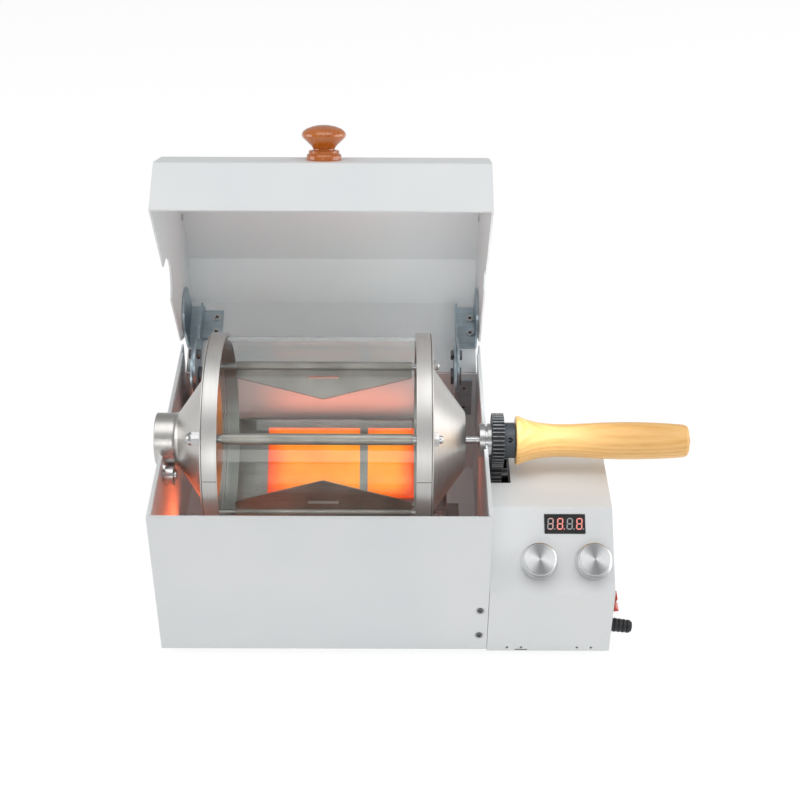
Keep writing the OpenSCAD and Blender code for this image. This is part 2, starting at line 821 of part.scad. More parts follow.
// A spun end cap: flat rim, cone and then a stub, drawn with Z away from the glass
module cap_outline(stub_r, stub_l, open_end) {
    end_r = open_end ? stub_r - cap_t : 0;
    slant = cap_t * 1.3;
    polygon(concat(
        [[ring_r - 1, 0], [ring_r, 0.5], [ring_r, cap_t - 0.4], [ring_r - 0.6, cap_t]],
        corner_points([ring_r, cap_t], [cone_r, cap_t], [stub_r, cap_t + cone_l], rim_bend_r, 0),
        open_end
            ? corner_points([cone_r, cap_t], [stub_r, cap_t + cone_l],
                            [stub_r, cap_t + cone_l + stub_l], neck_bend_r, 0)
            : [[stub_r, cap_t + cone_l]],
        open_end
            ? [[stub_r, cap_t + cone_l + stub_l - 0.5], [stub_r - 0.5, cap_t + cone_l + stub_l],
               [end_r + 0.3, cap_t + cone_l + stub_l], [end_r, cap_t + cone_l + stub_l - 0.3],
               [end_r, cone_l - slant + cap_t]]
            : [[stub_r - 0.8, cap_t + cone_l + stub_l], [0, cap_t + cone_l + stub_l],
               [0, cone_l + stub_l], [stub_r - cap_t, cone_l + stub_l]],
        [[cone_r - slant, 0]]
    ));
}

module rod_holes() {
    for (i = [0:rod_count - 1]) rotate([0, 0, i * 360 / rod_count])
        translate([rod_circle_r, 0, -5]) cylinder(r = rod_r + snug, h = 20);
}

// The first rod's place about the drum's axis, in on_drum() coordinates
rod_turn = first_rod_angle + 90;

module left_cap() {
    color("silver") on_drum() translate([0, 0, drum_x]) mirror([0, 0, 1])
        rotate([0, 0, rod_turn]) difference() {
            rotate_extrude($fn = 128) cap_outline(neck_r, neck_l, true);
            rod_holes();
        }
}

module right_cap() {
    color("silver") on_drum() translate([0, 0, drum_right_x]) rotate([0, 0, rod_turn])
        difference() {
            rotate_extrude($fn = 128) cap_outline(neck_r + 1.5, 0, false);
            rod_holes();
            cylinder(r = shaft_r + snug, h = 60);
        }
}

module end_ring() {
    ring_tube(ring_r, ring_gap_r, ring_w);
    ring_tube(ring_r, rod_circle_r + nut_r, 1.2);
}

module left_ring() color("gainsboro") on_drum() translate([0, 0, drum_x]) end_ring();

module right_ring() {
    color("gainsboro") on_drum() translate([0, 0, drum_right_x]) mirror([0, 0, 1]) end_ring();
}

module glass_tube() {
    color([0.8, 0.9, 0.9, 0.4]) on_drum() translate([0, 0, drum_x + 1.2 + seat])
        ring_tube(glass_r, glass_r - glass_t, drum_l - 2.4 - 2 * seat);
}

module around_rods() {
    on_drum() for (i = [0:rod_count - 1]) rotate([0, 0, rod_turn + i * 360 / rod_count])
        translate([rod_circle_r, 0, 0]) children();
}

left_rod_end = drum_x - cap_t - nut_l + 0.5;
right_rod_end = drum_right_x + cap_t + thin_nut_l + rod_tip_l;

module tie_rods() {
    color("silver") around_rods() {
        translate([0, 0, left_rod_end])
            cylinder(r = rod_r, h = right_rod_end - 1 - left_rod_end);
        translate([0, 0, right_rod_end - 1 - eps])
            cylinder(r1 = rod_r, r2 = rod_r - 1, h = 1 + eps);
    }
}

// An acorn nut on each rod's left end, and a thin nut on its right end
module rod_nuts() {
    color("silver") around_rods() {
        translate([0, 0, drum_x - cap_t]) mirror([0, 0, 1]) difference() {
            union() {
                cylinder(r = nut_r, h = nut_l, $fn = 6);
                translate([0, 0, nut_l - eps]) rotate_extrude() intersection() {
                    circle(r = dome_l);
                    square(dome_l);
                }
            }
            translate([0, 0, -1]) cylinder(r = rod_r + run_gap, h = nut_l + 0.8);
        }
        translate([0, 0, drum_right_x + cap_t]) difference() {
            cylinder(r = nut_r, h = thin_nut_l, $fn = 6);
            translate([0, 0, -1]) cylinder(r = rod_r + run_gap, h = thin_nut_l + 2);
        }
    }
}

vane_clip_w = 32;
vane_clip_h = 9;

// The vanes, each folded round its rod
module mixing_vanes() {
    color("silver") around_rods() {
        translate([0, 0, drum_x + (drum_l - vane_l) / 2]) difference() {
            cylinder(r = rod_r + snug + vane_t, h = vane_l, $fn = 48);
            translate([0, 0, -1]) cylinder(r = rod_r + snug, h = vane_l + 2);
        }
        translate([-rod_circle_r, 0, drum_x + drum_l / 2]) rotate([90, 0, 0])
            translate([0, 0, -vane_t / 2]) linear_extrude(vane_t) vane_outline();
    }
}

module vane_outline() {
    tip_r = rod_circle_r - rod_r - snug - eps;
    difference() {
        polygon([
            [tip_r, -vane_l / 2], [tip_r, vane_l / 2],
            [tip_r - vane_end_h, vane_l / 2], [tip_r - vane_h, 0],
            [tip_r - vane_end_h, -vane_l / 2]
        ]);
        translate([tip_r - vane_clip_h, -vane_clip_w / 2 + 4])
            square([2.5, vane_clip_w - 8]);
    }
}

shaft_start = cone_end_x - 12;
shaft_boss_r = 8;

module drum_shaft() {
    color("silver") on_drum() {
        translate([0, 0, shaft_start]) cylinder(r = shaft_r, h = handle_x + 30 - shaft_start);
        translate([0, 0, cone_end_x - cap_t - 5]) cylinder(r = shaft_boss_r, h = 5);
    }
}

module drum_gear() {
    color("black") on_drum() translate([0, 0, gear_x])
        gear(drum_teeth, gear_w, shaft_r + snug / 2, 0);
}

module handle_hub() {
    color("black") on_drum() translate([0, 0, hub_x]) difference() {
        union() {
            cylinder(r = hub_r, h = hub_l - 1);
            translate([0, 0, hub_l - 1 - eps])
                cylinder(r1 = hub_r, r2 = hub_r - 0.8, h = 1 + eps);
        }
        translate([0, 0, -1]) cylinder(r = shaft_r + snug / 2, h = hub_l + 2);
        rotate([0, 0, rod_turn]) translate([0, 0, hub_l / 2]) rotate([0, 90, 0])
            cylinder(r = 1.8, h = hub_r + 1);
    }
}

// The handle's turned outline: share of its length, and radius from grip to flare
handle_turning = [
    [0, 0.86], [0.006, 1], [0.018, 0.98], [0.035, 0.76], [0.06, 0.45], [0.09, 0.16],
    [0.13, -0.1], [0.18, -0.3], [0.24, -0.42], [0.31, -0.4], [0.4, -0.27], [0.5, -0.1],
    [0.6, -0.01], [0.7, 0], [0.8, -0.07], [0.89, -0.2], [0.955, -0.34], [0.982, -0.45],
    [0.995, -0.62], [1, -0.85]
];

module handle() {
    bore_l = 34;
    color("burlywood") on_drum() translate([0, 0, handle_x]) difference() {
        rotate_extrude($fn = 96) polygon(concat(
            [[0, 0]],
            [for (p = handle_turning)
                [handle_r + p[1] * (flare_r - handle_r), p[0] * handle_l]],
            [[0, handle_l]]
        ));
        translate([0, 0, -1]) cylinder(r = shaft_r + snug / 2, h = bore_l);
        translate([0, 0, handle_l - 20]) cylinder(r = 2 + snug, h = 21);
    }
}

module handle_bolt() {
    color("gray") on_drum() translate([0, 0, handle_end_x]) {
        pan_screw(2, 3.2, bolt_head_l, 18);
    }
}

// ---- gear train and motor ----

module idler_gear() {
    color("black") in_frame() along_x([idler_x, drum_y, idler_z])
        gear(idler_teeth, idler_w, shaft_r + run_gap, 180 / idler_teeth);
}

bracket_x = right_x + 17.5;
bracket_t = 2;
bracket_w = 54;

module idler_post() {
    color("silver") in_frame() along_x([idler_x, drum_y, idler_z]) {
        translate([0, 0, -1]) cylinder(r = shaft_r + 1.6, h = 1 - seat);
        translate([0, 0, -1]) cylinder(r = shaft_r, h = bracket_x - idler_x + 1);
        translate([0, 0, idler_w + seat])
            cylinder(r = shaft_r + 1.4, h = bracket_x - idler_x - idler_w - seat);
    }
}

module motor_bracket() {
    color("silver") in_frame() difference() {
        union() {
            translate([bracket_x, drum_y - bracket_w / 2, sheet_t])
                cube([bracket_t, bracket_w, control_top_h - 2 * sheet_t - seat]);
            translate([bracket_x, drum_y - bracket_w / 2, sheet_t]) cube([20, bracket_w, bracket_t]);
        }
        along_x([bracket_x - 1, drum_y, pinion_z]) cylinder(r = 7, h = 5);
    }
}

module gear_motor() {
    color("gray") in_frame() difference() {
        union() {
            along_x([bracket_x + bracket_t, drum_y, motor_z]) {
                cylinder(r = motor_r, h = gearbox_l);
                translate([0, 0, gearbox_l - eps]) cylinder(r = motor_r - 1.5, h = motor_l);
                translate([0, 0, gearbox_l + motor_l - eps]) cylinder(r = 5, h = 2.5);
            }
            along_x([bracket_x - 2, drum_y, pinion_z]) cylinder(r = 6, h = 5);
        }
        along_x([bracket_x - 3, drum_y, pinion_z]) cylinder(r = shaft_r + run_gap, h = 18);
    }
}

module motor_shaft() {
    color("silver") in_frame() along_x([idler_x - 1, drum_y, pinion_z])
        cylinder(r = shaft_r, h = bracket_x + 12 - idler_x);
}

module pinion() {
    color("black") in_frame() along_x([idler_x, drum_y, pinion_z])
        gear(pinion_teeth, idler_w, shaft_r + snug / 2, 0);
}

// ---- control box ----

pot_shaft_r = 3;
pot_bush_r = 4.5;
pot_r = 8;

// Two pairs of round reliefs at the front's bottom edge, where the floor plate's tabs sit
relief_xs = [right_x + 21.2, right_x + 75.1];
relief_pitch = 10.8;
relief_r = 1.1;
relief_z = 3.3;

module control_shell() {
    color("whitesmoke") difference() {
        in_frame() difference() {
            slab(control_x, control_right - control_x) bent_sheet(control_path, sheet_t);
            translate([slot_x, slot_y, control_top_h - 5]) cube([slot_w, slot_d, 10]);
            for (x = relief_xs, side = [-0.5, 0.5])
                translate([x + side * relief_pitch, -1, relief_z]) rotate([-90, 0, 0])
                    cylinder(r = relief_r, h = sheet_t + 2, $fn = 24);
        }
        on_panel() {
            for (x = knob_xs) translate([x, knob_up, -5]) cylinder(r = pot_bush_r + snug, h = 10);
            translate([control_mid_x - display_w / 2, display_up - display_h / 2, -5])
                cube([display_w, display_h, 10]);
        }
    }
}

end_screw_places = [
    [control_d - 80, control_top_h - 8], [control_d - 15, control_top_h / 2],
    [control_d - 80, 12]
];

module control_end() {
    color("whitesmoke") in_frame() difference() {
        slab(end_x, sheet_t) difference() {
            polygon(control_inner_path);
            translate([switch_y - switch_w / 2 + 1, switch_z - switch_h / 2 + 1])
                square([switch_w - 2, switch_h - 2]);
            translate([gland_y, gland_z]) circle(r = gland_r - 0.4 + snug);
            for (p = end_screw_places) translate(p) circle(r = screw_r + snug);
            square([control_d, sheet_t]);
        }
    }
}

module control_base() {
    color("whitesmoke") in_frame() difference() {
        translate([control_x, sheet_t, 0])
            cube([control_right - control_x, control_d - 2 * sheet_t, sheet_t]);
        for (p = foot_places) if (p[0] > right_x)
            translate([p[0], p[1], -1]) cylinder(r = screw_r + snug, h = sheet_t + 2);
    }
}

module display_module() {
    color("black") on_panel() translate([control_mid_x, display_up, 0]) {
        translate([-display_w / 2 + snug, -display_h / 2 + snug, -7])
            cube([display_w - 2 * snug, display_h - 2 * snug, 7.4]);
        translate([-display_w / 2 - 3, -display_h / 2 - 1, -8.6 + eps])
            cube([display_w + 6, display_h + 2, 1.6]);
    }
}

module potentiometers() {
    color("gray") on_panel() for (x = knob_xs) translate([x, knob_up, 0]) difference() {
        union() {
            translate([0, 0, -sheet_t - 10]) cylinder(r = pot_r, h = 10 - eps);
            translate([0, 0, -sheet_t - 1]) cylinder(r = pot_bush_r, h = sheet_t + 4);
        }
        translate([0, 0, -sheet_t - 8]) cylinder(r = pot_shaft_r + run_gap, h = 20);
    }
}

module potentiometer_nuts() {
    color("silver") on_panel() for (x = knob_xs) translate([x, knob_up, 0]) difference() {
        cylinder(r = 6.8, h = 1.8, $fn = 6);
        translate([0, 0, -1]) cylinder(r = pot_bush_r + run_gap, h = 4);
    }
}

module knob_shaft(x) {
    on_panel() translate([x, knob_up, -sheet_t - 7]) cylinder(r = pot_shaft_r, h = sheet_t + 7 + knob_h - 2);
}

// A turned knob: flat face, bevelled edge, grooved skirt and a hollow underside
module knob(x) {
    on_panel() translate([x, knob_up, knob_lift]) difference() {
        rotate_extrude($fn = 96) polygon([
            [0, 3.6], [8, 3.6], [8, 0], [knob_r - 0.4, 0], [knob_r, 0.5], [knob_r, 2.4],
            [knob_r - 0.9, 3], [knob_r - 1.2, knob_h - 1], [knob_r - 1.9, knob_h - 0.3],
            [knob_r - 2.4, knob_h], [0, knob_h]
        ]);
        translate([0, 0, -1]) cylinder(r = pot_shaft_r + snug / 2, h = knob_h - 1.2);
    }
}

module left_knob() color("silver") knob(knob_xs[0]);
module left_knob_shaft() color("gray") knob_shaft(knob_xs[0]);
module right_knob() color("silver") knob(knob_xs[1]);
module right_knob_shaft() color("gray") knob_shaft(knob_xs[1]);

switch_depth = 14;
switch_lip = 2.2;
rocker_pin_r = 1.2;
rocker_w = switch_w - 6;
rocker_h = switch_h - 7;
outer_x = end_x + sheet_t;

// Children with Z out of the end plate, X up the case and Y across it
module at_switch() {
    in_frame() along_x([outer_x, switch_y, switch_z]) children();
}

module switch_body() {
    color("black") at_switch() difference() {
        union() {
            translate([-switch_h / 2, -switch_w / 2, 0]) cube([switch_h, switch_w, switch_lip]);
            translate([-switch_h / 2 + 1.2, -switch_w / 2 + 1.2, -switch_depth])
                cube([switch_h - 2.4, switch_w - 2.4, switch_depth + eps]);
        }
        translate([-rocker_h / 2 - 0.6, -rocker_w / 2 - seat, -9])
            cube([rocker_h + 1.2, rocker_w + 2 * seat, 20]);
        translate([0, switch_w / 2, -3]) rotate([90, 0, 0])
            cylinder(r = rocker_pin_r + run_gap, h = switch_w);
    }
}

rocker_rest = 9;
rocker_rise = 9.2;
rocker_dip = 7.2;

module switch_rocker() {
    color("red") at_switch() translate([0, 0, -3]) rotate([0, -rocker_rest, 0]) {
        translate([0, rocker_w / 2, 0]) rotate([90, 0, 0]) linear_extrude(rocker_w) polygon([
            [-rocker_h / 2 + 0.6, 1.4], [-rocker_h / 2 + 0.6, rocker_rise], [-2, rocker_dip],
            [2, rocker_dip], [rocker_h / 2 - 0.6, rocker_rise], [rocker_h / 2 - 0.6, 1.4],
            [2.5, -3], [-2.5, -3]
        ]);
        translate([0, rocker_w / 2 + 1.6, 0]) rotate([90, 0, 0])
            cylinder(r = rocker_pin_r, h = rocker_w + 3.2);
    }
}

module cable_gland() {
    color("black") in_frame() translate([outer_x, gland_y, gland_z]) {
        difference() {
            union() {
                along_x([-sheet_t - 4, 0, 0]) cylinder(r = gland_r - 0.4, h = sheet_t + 5.2);
                along_x([-sheet_t - 6, 0, 0]) cylinder(r = gland_r + 1.4, h = 2.4);
                rotate([0, gland_tilt, 0]) along_x([1, 0, 0]) gland_boot();
            }
            along_x([-20, 0, 0]) cylinder(r = cord_bore_r + 0.9, h = 21);
            rotate([0, gland_tilt, 0]) along_x([-1, 0, 0]) cylinder(r = cord_bore_r, h = 40);
        }
    }
}

rib_count = 5;

// The ribbed boot of the strain relief, tapering outwards along Z
module gland_boot() {
    pitch = gland_l / rib_count;
    cylinder(r1 = gland_r - 1, r2 = gland_r - 1.6, h = gland_l);
    for (i = [0:rib_count - 1]) translate([0, 0, i * pitch])
        cylinder(r1 = gland_r - 0.1 * i, r2 = gland_r - 0.3 - 0.1 * i, h = pitch * 0.62);
}

// ---- electrics inside the control box ----

board_z = 12;
board_t = 1.6;

module control_board() {
    color("darkgreen") in_frame() {
        translate([right_x + 42, 42, board_z]) cube([46, 34, board_t]);
        for (x = [right_x + 46, right_x + 84], y = [46, 72])
            translate([x, y, sheet_t]) cylinder(r = 2.5, h = board_z - sheet_t + eps);
        translate([right_x + 48, 50, board_z + board_t - eps]) cube([14, 12, 12]);
        translate([right_x + 68, 50, board_z + board_t - eps]) cube([12, 18, 9]);
    }
}

module terminal_block() {
    color("ivory") in_frame() translate([right_x + 10, 30, sheet_t]) difference() {
        cube([10, 36, 14]);
        for (i = [0:2]) translate([-1, 3 + i * 12, 5]) cube([12, 6, 5]);
    }
}

// ---- what is drawn ----

chamber_shell();
left_wall();
right_wall();
heater_tray();
heater_panel();
heater_strap();
heater_terminals();
heater_brackets();
roller_pins();
shaft_bearing();
hinge_bases();
hinge_pins();
control_shell();
control_end();
control_base();
display_module();
potentiometers();
potentiometer_nuts();
control_board();
gear_motor();
motor_bracket();
idler_post();
switch_body();
cable_gland();
terminal_block();
feet();
case_screws();
front_roller();
front_roller_ring();
rear_roller();
rear_roller_ring();
idler_gear();
pinion();
motor_shaft();
left_knob();
left_knob_shaft();
right_knob();
right_knob_shaft();
switch_rocker();
lid_panel();
lid_left_side();
lid_right_side();
lid_knob();
lid_knob_screw();
hinge_arms();
hinge_guide_bolts();
lid_rivets();
left_cap();
right_cap();
left_ring();
right_ring();
glass_tube();
tie_rods();
rod_nuts();
mixing_vanes();
drum_shaft();
drum_gear();
handle_hub();
handle();
handle_bolt();
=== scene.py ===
"""Looks of a home coffee bean roaster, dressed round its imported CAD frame."""

import math

import bmesh
import bpy
from mathutils import Matrix, Vector


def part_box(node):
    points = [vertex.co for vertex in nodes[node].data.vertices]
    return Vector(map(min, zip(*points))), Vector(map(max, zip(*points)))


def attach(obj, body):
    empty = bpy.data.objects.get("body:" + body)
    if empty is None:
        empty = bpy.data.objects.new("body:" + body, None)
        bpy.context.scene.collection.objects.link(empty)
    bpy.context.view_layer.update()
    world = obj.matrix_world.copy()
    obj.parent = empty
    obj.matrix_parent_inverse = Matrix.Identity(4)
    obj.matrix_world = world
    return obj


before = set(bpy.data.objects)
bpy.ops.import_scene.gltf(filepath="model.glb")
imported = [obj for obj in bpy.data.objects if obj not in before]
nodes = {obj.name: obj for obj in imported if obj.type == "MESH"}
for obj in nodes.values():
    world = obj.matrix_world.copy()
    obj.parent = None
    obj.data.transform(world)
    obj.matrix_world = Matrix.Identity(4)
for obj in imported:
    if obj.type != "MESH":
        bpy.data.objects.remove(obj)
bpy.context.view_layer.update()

# ---- places in the case's millimetres: x right, y back, z up from its lower front left corner ----

MM = 0.001
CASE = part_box("chamber_shell")[0]
PIVOT_Y, PIVOT_Z, LID_OPEN = 207.0, 113.0, math.radians(64.4)
DRUM_Y, DRUM_Z = 98.0, 129.0
PANEL_TILT, PANEL_Z = math.radians(37), 59.5
CHAMBER_W, CHAMBER_H, SHEET = 250.0, 133.0, 1.5
END_X = 343.9
HINGE_XS = (13, 230)
IDLER_Z = 96
LEFT_KNOB_X, RIGHT_KNOB_X, KNOB_UP = 287.5, 328.5, 24
DRUM_GEAR_R, IDLER_GEAR_R = 21, 14
BLACK_PLASTIC = (0.022, 0.024, 0.027)


def case(x, y, z):
    """A point of the case, in the frame's metres."""
    return CASE + Vector((x, y, z)) * MM


def on_lid(x, y, z):
    """A closed-lid point, swung open."""
    dy, dz = y - PIVOT_Y, z - PIVOT_Z
    c, s = math.cos(LID_OPEN), -math.sin(LID_OPEN)
    return case(x, PIVOT_Y + dy * c - dz * s, PIVOT_Z + dy * s + dz * c)


def on_panel(x, y, z):
    """A point on the sloping control panel: x right, y up the slope, z out of it."""
    c, s = math.cos(PANEL_TILT), math.sin(PANEL_TILT)
    return case(x, y * c - z * s, PANEL_Z + y * s + z * c)


def on_drum(x, angle, r):
    """A point at distance r from the drum's axis, angle from the back to the top."""
    return case(x, DRUM_Y + r * math.cos(angle), DRUM_Z + r * math.sin(angle))


# ---- material building ----


class Look:
    """A Principled material with short calls for the nodes that the looks share."""

    def __init__(self, name, colour, rough, metal=0.0, **more):
        self.mat = bpy.data.materials.new(name)
        self.mat.use_nodes = True
        self.tree = self.mat.node_tree
        self.shader = self.tree.nodes["Principled BSDF"]
        self.output = self.tree.nodes["Material Output"]
        self.place = self.add("ShaderNodeTexCoord").outputs["Object"]
        self.set(self.shader, "Base Color", (*colour, 1))
        self.set(self.shader, "Roughness", rough)
        self.set(self.shader, "Metallic", metal)
        for key, value in more.items():
            self.set(self.shader, key.replace("_", " "), value)

    def add(self, kind, **settings):
        node = self.tree.nodes.new(kind)
        for key, value in settings.items():
            setattr(node, key, value)
        return node

    def set(self, node, socket, value):
        """Links a socket, or sets a plain value on it."""
        target = node.inputs[socket]
        if isinstance(value, bpy.types.NodeSocket):
            self.tree.links.new(value, target)
        else:
            target.default_value = value

    def shade(self, socket, value):
        self.set(self.shader, socket, value)

    def math(self, operation, a, b=0.0, c=0.0):
        node = self.add("ShaderNodeMath", operation=operation)
        for i, value in enumerate((a, b, c)):
            self.set(node, i, value)
        return node.outputs[0]

    def vector(self, operation, a, b=None, out="Vector"):
        node = self.add("ShaderNodeVectorMath", operation=operation)
        self.set(node, 0, a)
        if b is not None:
            self.set(node, 1, b)
        return node.outputs[out]

    def stretch(self, scale, place=None):
        """Coordinates times scale, a number for each axis."""
        return self.vector("MULTIPLY", place or self.place, scale)

    def noise(self, place, scale=1.0, detail=3.0, rough=0.5):
        node = self.add("ShaderNodeTexNoise")
        self.set(node, "Vector", place)
        self.set(node, "Scale", scale)
        self.set(node, "Detail", detail)
        self.set(node, "Roughness", rough)
        return node.outputs["Fac"]

    def between(self, value, low, high, from_low=0.0, from_high=1.0):
        node = self.add("ShaderNodeMapRange")
        for i, number in enumerate((value, from_low, from_high, low, high)):
            self.set(node, i, number)
        return node.outputs[0]

    def blend(self, share, a, b):
        """Colour a at share 0 and colour b at share 1."""
        node = self.add("ShaderNodeMix", data_type="RGBA")
        self.set(node, 0, share)
        for i, colour in ((6, a), (7, b)):
            self.set(node, i, (*colour, 1) if isinstance(colour, tuple) else colour)
        return node.outputs[2]

    def ramp(self, value, stops):
        node = self.add("ShaderNodeValToRGB")
        self.set(node, 0, value)
        while len(node.color_ramp.elements) < len(stops):
            node.color_ramp.elements.new(0.5)
        for element, (at, colour) in zip(node.color_ramp.elements, stops):
            element.position = at
            element.color = (*colour, 1)
        return node.outputs[0]

    def bump(self, height, strength, depth, normal=None):
        """A surface normal from a height, whose full depth is in metres."""
        node = self.add("ShaderNodeBump")
        self.set(node, "Height", height)
        self.set(node, "Strength", strength)
        self.set(node, "Distance", depth)
        if normal is not None:
            self.set(node, "Normal", normal)
        return node.outputs["Normal"]

    def soft_edge(self, radius):
        node = self.add("ShaderNodeBevel", samples=4)
        self.set(node, "Radius", radius)
        return node.outputs["Normal"]

    def edges(self, soft, sharp=0.02, full=0.2):
        """1 along edges and 0 away from them, from a softened normal."""
        normal = self.add("ShaderNodeNewGeometry").outputs["Normal"]
        same = self.vector("DOT_PRODUCT", soft, normal, "Value")
        return self.between(self.math("SUBTRACT", 1.0, same), 0.0, 1.0, sharp, full)

    def about(self, centre, axis):
        """For a turned part: height along its axis, radius, the way out from it, the way round it."""
        arm = self.vector("SUBTRACT", self.place, tuple(centre))
        height = self.vector("DOT_PRODUCT", arm, tuple(axis), "Value")
        scaled = self.add("ShaderNodeVectorMath", operation="SCALE")
        self.set(scaled, 0, tuple(axis))
        self.set(scaled, "Scale", height)
        flat = self.vector("SUBTRACT", arm, scaled.outputs[0])
        radius = self.vector("LENGTH", flat, None, "Value")
        way = self.vector("NORMALIZE", flat)
        tangent = self.vector("CROSS_PRODUCT", tuple(axis), way)
        turned = self.add("ShaderNodeVectorTransform", vector_type="VECTOR")
        turned.convert_from, turned.convert_to = "OBJECT", "WORLD"
        self.set(turned, 0, tangent)
        return height, radius, way, turned.outputs[0]

    def turned_lines(self, height, radius, way, pitch, lean, wander=1.2):
        """Fine tool marks round a turned part: pitch is their spacing in metres."""
        along = self.math("MULTIPLY_ADD", height, lean, radius)
        along = self.math("DIVIDE", along, pitch)
        joined = self.add("ShaderNodeCombineXYZ")
        self.set(joined, 0, along)
        around = self.stretch((wander, wander, wander), way)
        both = self.vector("ADD", around, joined.outputs[0])
        return self.noise(both, 1.0, 2.0, 0.6)


def paint(look, *names):
    """Gives the named CAD nodes a look."""
    for name in names:
        slots = nodes[name].data.materials
        slots.clear()
        slots.append(look.mat)


# ---- the materials ----

WHITE = (0.80, 0.825, 0.835)

coat = Look("white_coat", WHITE, 0.4, Coat_Weight=0.12, Coat_Roughness=0.28)
cloud = coat.noise(coat.place, 9.0, 2.0)
peel = coat.noise(coat.place, 700.0, 2.0)
speck = coat.noise(coat.place, 2600.0, 1.0)
coat_edge = coat.soft_edge(0.0006)
coat_mask = coat.edges(coat_edge)
cloud_share = coat.between(cloud, 0.0, 1.0, 0.3, 0.7)
coat_body = coat.blend(cloud_share, (0.775, 0.805, 0.82), (0.825, 0.84, 0.845))
# The coat is paler along its edges
coat_edge_pale = coat.math("MULTIPLY", coat_mask, 0.55)
coat.shade("Base Color", coat.blend(coat_edge_pale, coat_body, (0.9, 0.91, 0.915)))
coat.shade("Roughness", coat.between(peel, 0.34, 0.5, 0.3, 0.7))
coat.shade("Normal", coat.bump(speck, 0.18, 0.00003, coat.bump(peel, 0.22, 0.00012, coat_edge)))


def brushed(
    name, centre, axis, base, rough,
    pitch=0.0004, lean=1.0, strength=0.2, aniso=0.6, contrast=0.05, painted_highlight_way=None,
):
    """Turned bright metal with fine marks round its axis; away from the given way its colour is darker, a
    painted shade that leaves painted highlight wedges along that way.
    """
    look = Look(name, base, rough, 1.0, Anisotropic=aniso)
    height, radius, way, tangent = look.about(centre, axis)
    fine = look.turned_lines(height, radius, way, pitch, lean)
    broad = look.turned_lines(height, radius, way, pitch * 9, lean, 0.8)
    stain = look.noise(look.place, 45.0, 4.0, 0.6)
    both = look.math("MULTIPLY_ADD", broad, 0.45, look.math("MULTIPLY", fine, 0.55))
    dark, light = (tuple(min(1, c * k) for c in base) for k in (1 - contrast, 1 + contrast))
    tone = look.between(both, 0.0, 1.0, 0.35, 0.65)
    tone = look.math("MULTIPLY_ADD", look.between(stain, -0.3, 0.3, 0.35, 0.65), 0.5, tone)
    colour = look.blend(tone, dark, light)
    # Painted highlight: bright wedges along the given way, the colour darkened where the turned face looks
    # away from it
    if painted_highlight_way is not None:
        highlight_facing = look.math("ABSOLUTE", look.vector("DOT_PRODUCT", way, tuple(painted_highlight_way), "Value"))
        shade = tuple(c * 0.62 for c in base)
        colour = look.blend(look.between(highlight_facing, 0.0, 1.0, 0.25, 0.95), shade, colour)
    look.shade("Base Color", colour)
    look.shade("Roughness", look.between(both, rough + 0.04, rough - 0.04, 0.3, 0.7))
    look.shade("Tangent", tangent)
    soft = look.soft_edge(0.00035)
    look.shade("Normal", look.bump(fine, strength, 0.00004, soft))
    return look


AXIS_POINT = case(0, DRUM_Y, DRUM_Z)
X_AXIS = Vector((1, 0, 0))
PANEL_NORMAL = Vector((0, -math.sin(PANEL_TILT), math.cos(PANEL_TILT)))
STEEL = (0.60, 0.585, 0.565)
ALUMINIUM = (0.83, 0.84, 0.85)

left_steel = brushed("stainless_left", AXIS_POINT, X_AXIS, STEEL, 0.3, lean=1.0)
right_steel = brushed("stainless_right", AXIS_POINT, X_AXIS, STEEL, 0.3, lean=-1.0)
ring_steel = brushed("stainless_ring", AXIS_POINT, X_AXIS, (0.60, 0.59, 0.575), 0.36, lean=1.0)


def knob_metal(name, x):
    """Turned aluminium round the axis of the knob at x, with painted highlight wedges to left and right."""
    centre = on_panel(x, KNOB_UP, 0)
    return brushed(name, centre, PANEL_NORMAL, ALUMINIUM, 0.3, 0.00022, 1.0, 0.15, 0.9, 0.06, X_AXIS)


knob_left_metal = knob_metal("aluminium_left", LEFT_KNOB_X)
knob_right_metal = knob_metal("aluminium_right", RIGHT_KNOB_X)


def worn_metal(name, base, rough, scratch=(40.0, 900.0, 900.0), strength=0.2, spangle=0.0):
    """Sheet or bar metal with fine scratches, rubbed edges and an uneven sheen."""
    look = Look(name, base, rough, 1.0)
    lines = look.noise(look.stretch(scratch), 1.0, 3.0, 0.6)
    patch = look.noise(look.place, 40.0, 3.0)
    soft = look.soft_edge(0.0004)
    rubbed = look.edges(soft, 0.03, 0.3)
    tone = look.math("MULTIPLY_ADD", look.between(patch, -0.4, 0.4, 0.3, 0.7), 0.6, lines)
    if spangle:
        cells = look.add("ShaderNodeTexVoronoi")
        look.set(cells, "Vector", look.place)
        look.set(cells, "Scale", 260.0)
        tone = look.math("MULTIPLY_ADD", cells.outputs["Color"], spangle, tone)
    dark, light = tuple(c * 0.78 for c in base), tuple(min(1, c * 1.12) for c in base)
    body = look.blend(look.between(tone, 0.0, 1.0, 0.2, 0.9), dark, light)
    look.shade("Base Color", look.blend(rubbed, body, tuple(min(1, c * 1.25) for c in base)))
    look.shade("Roughness", look.between(tone, rough + 0.1, rough - 0.06, 0.2, 0.9))
    look.shade("Normal", look.bump(lines, strength, 0.00004, soft))
    return look


bright = worn_metal("bright_steel", (0.62, 0.62, 0.62), 0.24)
zinc = worn_metal("galvanised", (0.43, 0.52, 0.57), 0.36, spangle=0.3)
dark_metal = worn_metal("dark_steel", (0.20, 0.205, 0.215), 0.38)
tray_metal = worn_metal("tray_steel", (0.50, 0.47, 0.45), 0.32)
vane_metal = worn_metal("vane_steel", (0.45, 0.42, 0.39), 0.44, (30.0, 1600.0, 1600.0), 0.3)


